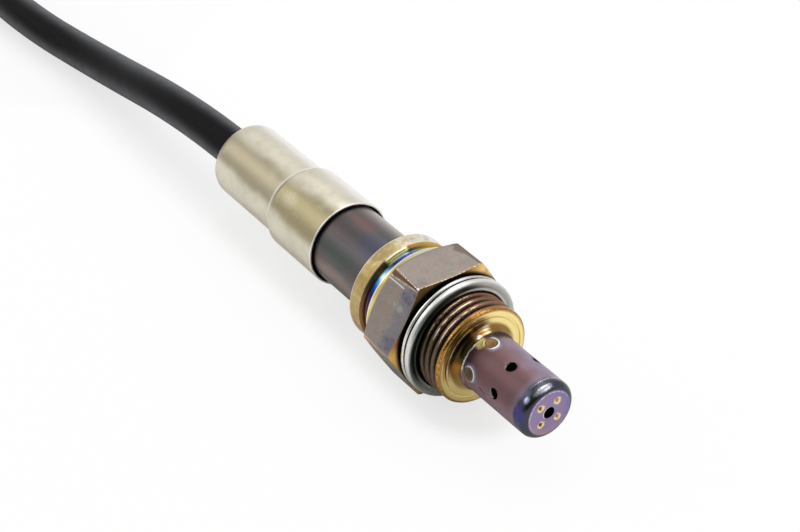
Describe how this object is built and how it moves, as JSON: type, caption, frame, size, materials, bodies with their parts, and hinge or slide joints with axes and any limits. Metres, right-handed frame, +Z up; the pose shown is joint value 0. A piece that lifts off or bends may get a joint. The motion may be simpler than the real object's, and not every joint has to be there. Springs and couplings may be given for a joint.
{
  "type": "oxygen sensor",
  "caption": "Screw-in exhaust oxygen sensor: perforated tip, threaded hexagon body with folded gasket, stepped sleeve, and a tied cable that ends in a sealed plug.",
  "frame": {"origin": "on the sensor's axis, in the front face of the gasket that seats on the exhaust boss", "axes": "+X along the axis, out of the threaded tip; +Z up as the sensor lies on a flat of its hexagon"},
  "size_m": [0.4221, 0.0524, 0.022],
  "materials": {
    "tinted_steel": "heat-tinted mauve and brown",
    "inner_steel": "plain, dulled by heat",
    "element_ceramic": "white ceramic with a grey tip",
    "shell_steel": "heat-tinted grey, gold at its worn edges",
    "gasket_steel": "bright",
    "packing_ceramic": "white ceramic",
    "powder": "pressed grey powder",
    "ring_steel": "plain",
    "tube_steel": "heat-tinted grey with violet bands",
    "spring_steel": "bright spring strip",
    "grommet_rubber": "matt black",
    "membrane": "white porous film",
    "sleeve_steel": "satin nickel",
    "cable_jacket": "satin black",
    "tie_plastic": "black",
    "boot_rubber": "matt black",
    "plug_plastic": "black, fine texture",
    "plug_contacts": "bright",
    "lock_plastic": "grey",
    "seal_rubber": "brown",
    "lead_insulation": "white insulation"
  },
  "bodies": {
    "root": {"outer_protector": "tinted_steel", "inner_protector": "inner_steel", "sensing_element": "element_ceramic", "metal_shell": "shell_steel", "gasket": "gasket_steel", "front_ceramic": "packing_ceramic", "packing_powder": "powder", "rear_ceramic": "packing_ceramic", "pressure_ring": "ring_steel", "outer_tube": "tube_steel", "contact_holder_upper": "packing_ceramic", "contact_holder_lower": "packing_ceramic", "clamp_spring": "spring_steel", "grommet": "grommet_rubber", "vent_membrane": "membrane", "protective_sleeve": "sleeve_steel", "cable_run": "cable_jacket", "cable_hank": "cable_jacket", "hank_tie": "tie_plastic", "cable_tail": "cable_jacket", "plug_boot": "boot_rubber", "plug_housing": "plug_plastic", "plug_pins": "plug_contacts", "plug_lock": "lock_plastic", "plug_seal": "seal_rubber", "contact_spring_1": "spring_steel", "crimp_1": "spring_steel", "lead_wire_1": "lead_insulation", "contact_spring_2": "spring_steel", "crimp_2": "spring_steel", "lead_wire_2": "lead_insulation", "contact_spring_3": "spring_steel", "crimp_3": "spring_steel", "lead_wire_3": "lead_insulation", "contact_spring_4": "spring_steel", "crimp_4": "spring_steel", "lead_wire_4": "lead_insulation"}
  },
  "joints": []
}
